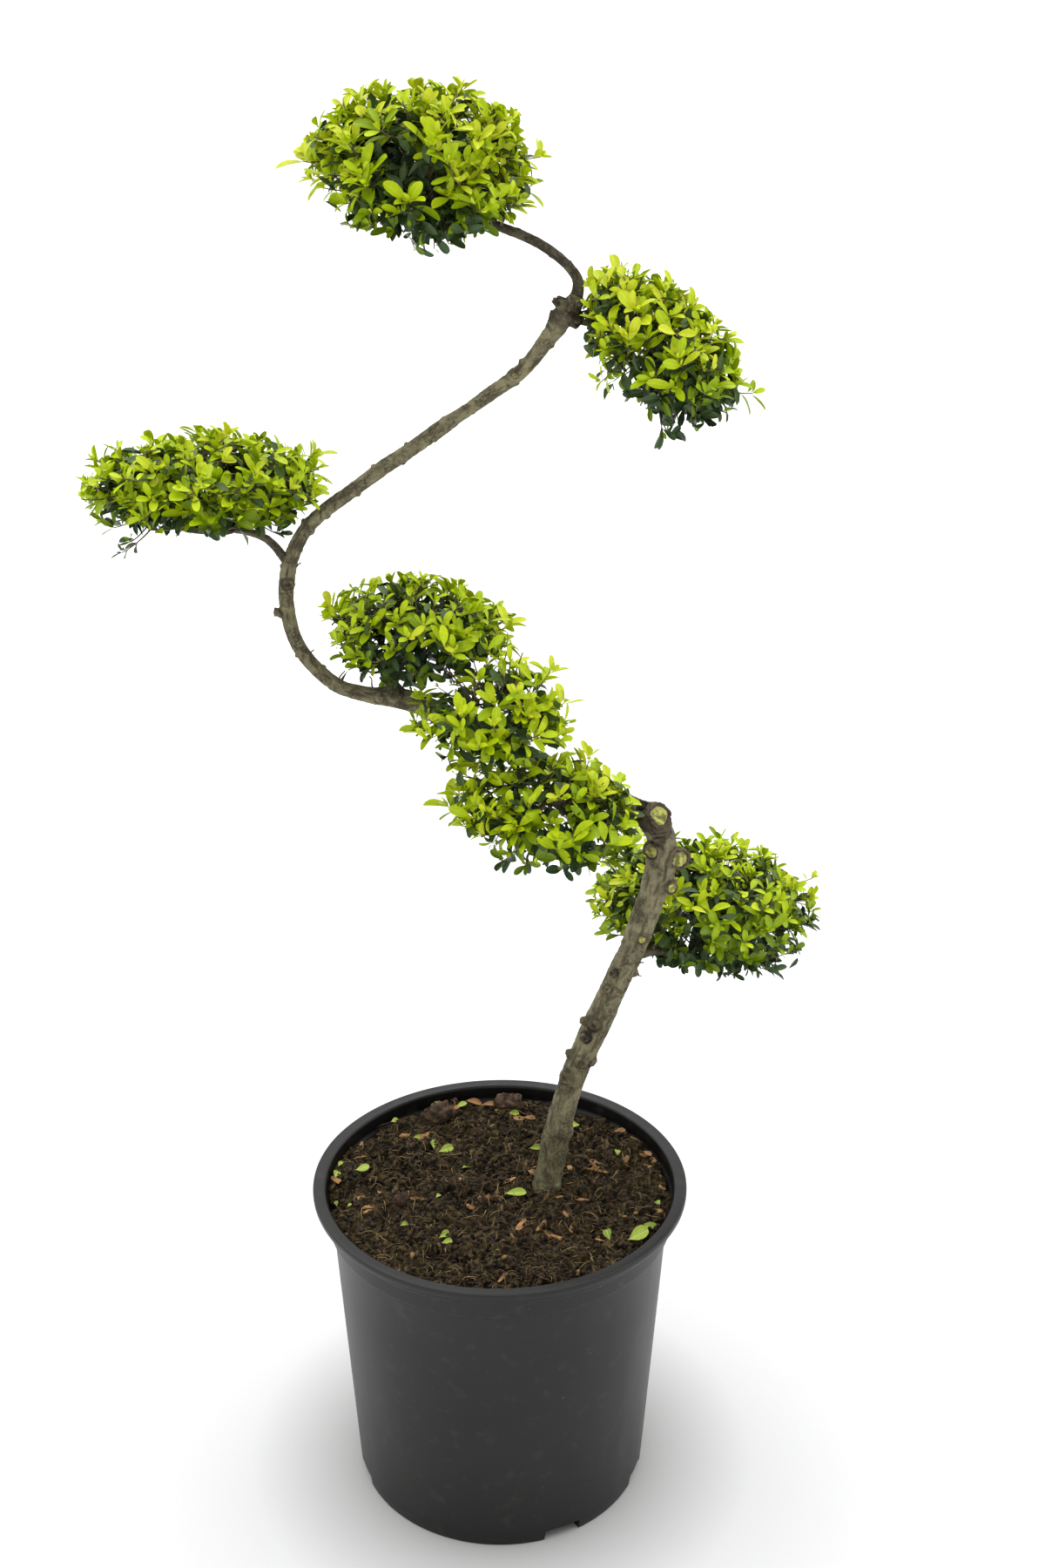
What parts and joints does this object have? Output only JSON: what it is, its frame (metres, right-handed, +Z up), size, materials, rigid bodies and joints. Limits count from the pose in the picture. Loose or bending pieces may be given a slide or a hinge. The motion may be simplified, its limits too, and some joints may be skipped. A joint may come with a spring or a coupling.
{
  "type": "potted japanese holly",
  "caption": "Cloud-pruned Japanese holly: a bent trunk and thin boughs with rounded pads of small leaves, in a round dark plastic nursery pot filled with soil.",
  "frame": {"origin": "centre of the pot's flat underside", "axes": "+Z up out of the soil, -Y towards the front of the plant"},
  "size_m": [0.6847, 0.38, 1.3987],
  "materials": {
    "pot_plastic": "matte",
    "peat": "matte",
    "old_bark": "matte",
    "young_bark": "matte",
    "foliage": "satin"
  },
  "bodies": {
    "root": {"pot": "pot_plastic", "soil": "peat", "trunk_lower": "old_bark", "trunk_middle": "old_bark", "trunk_bend": "old_bark", "trunk_upper": "old_bark", "bough_top": "young_bark", "bough_right": "young_bark", "bough_left": "young_bark", "bough_middle": "young_bark", "bough_low": "young_bark", "cloud_top": "foliage", "cloud_right": "foliage", "cloud_left": "foliage", "cloud_middle": "foliage", "cloud_slope_upper": "foliage", "cloud_slope_lower": "foliage", "cloud_low": "foliage"}
  },
  "joints": []
}
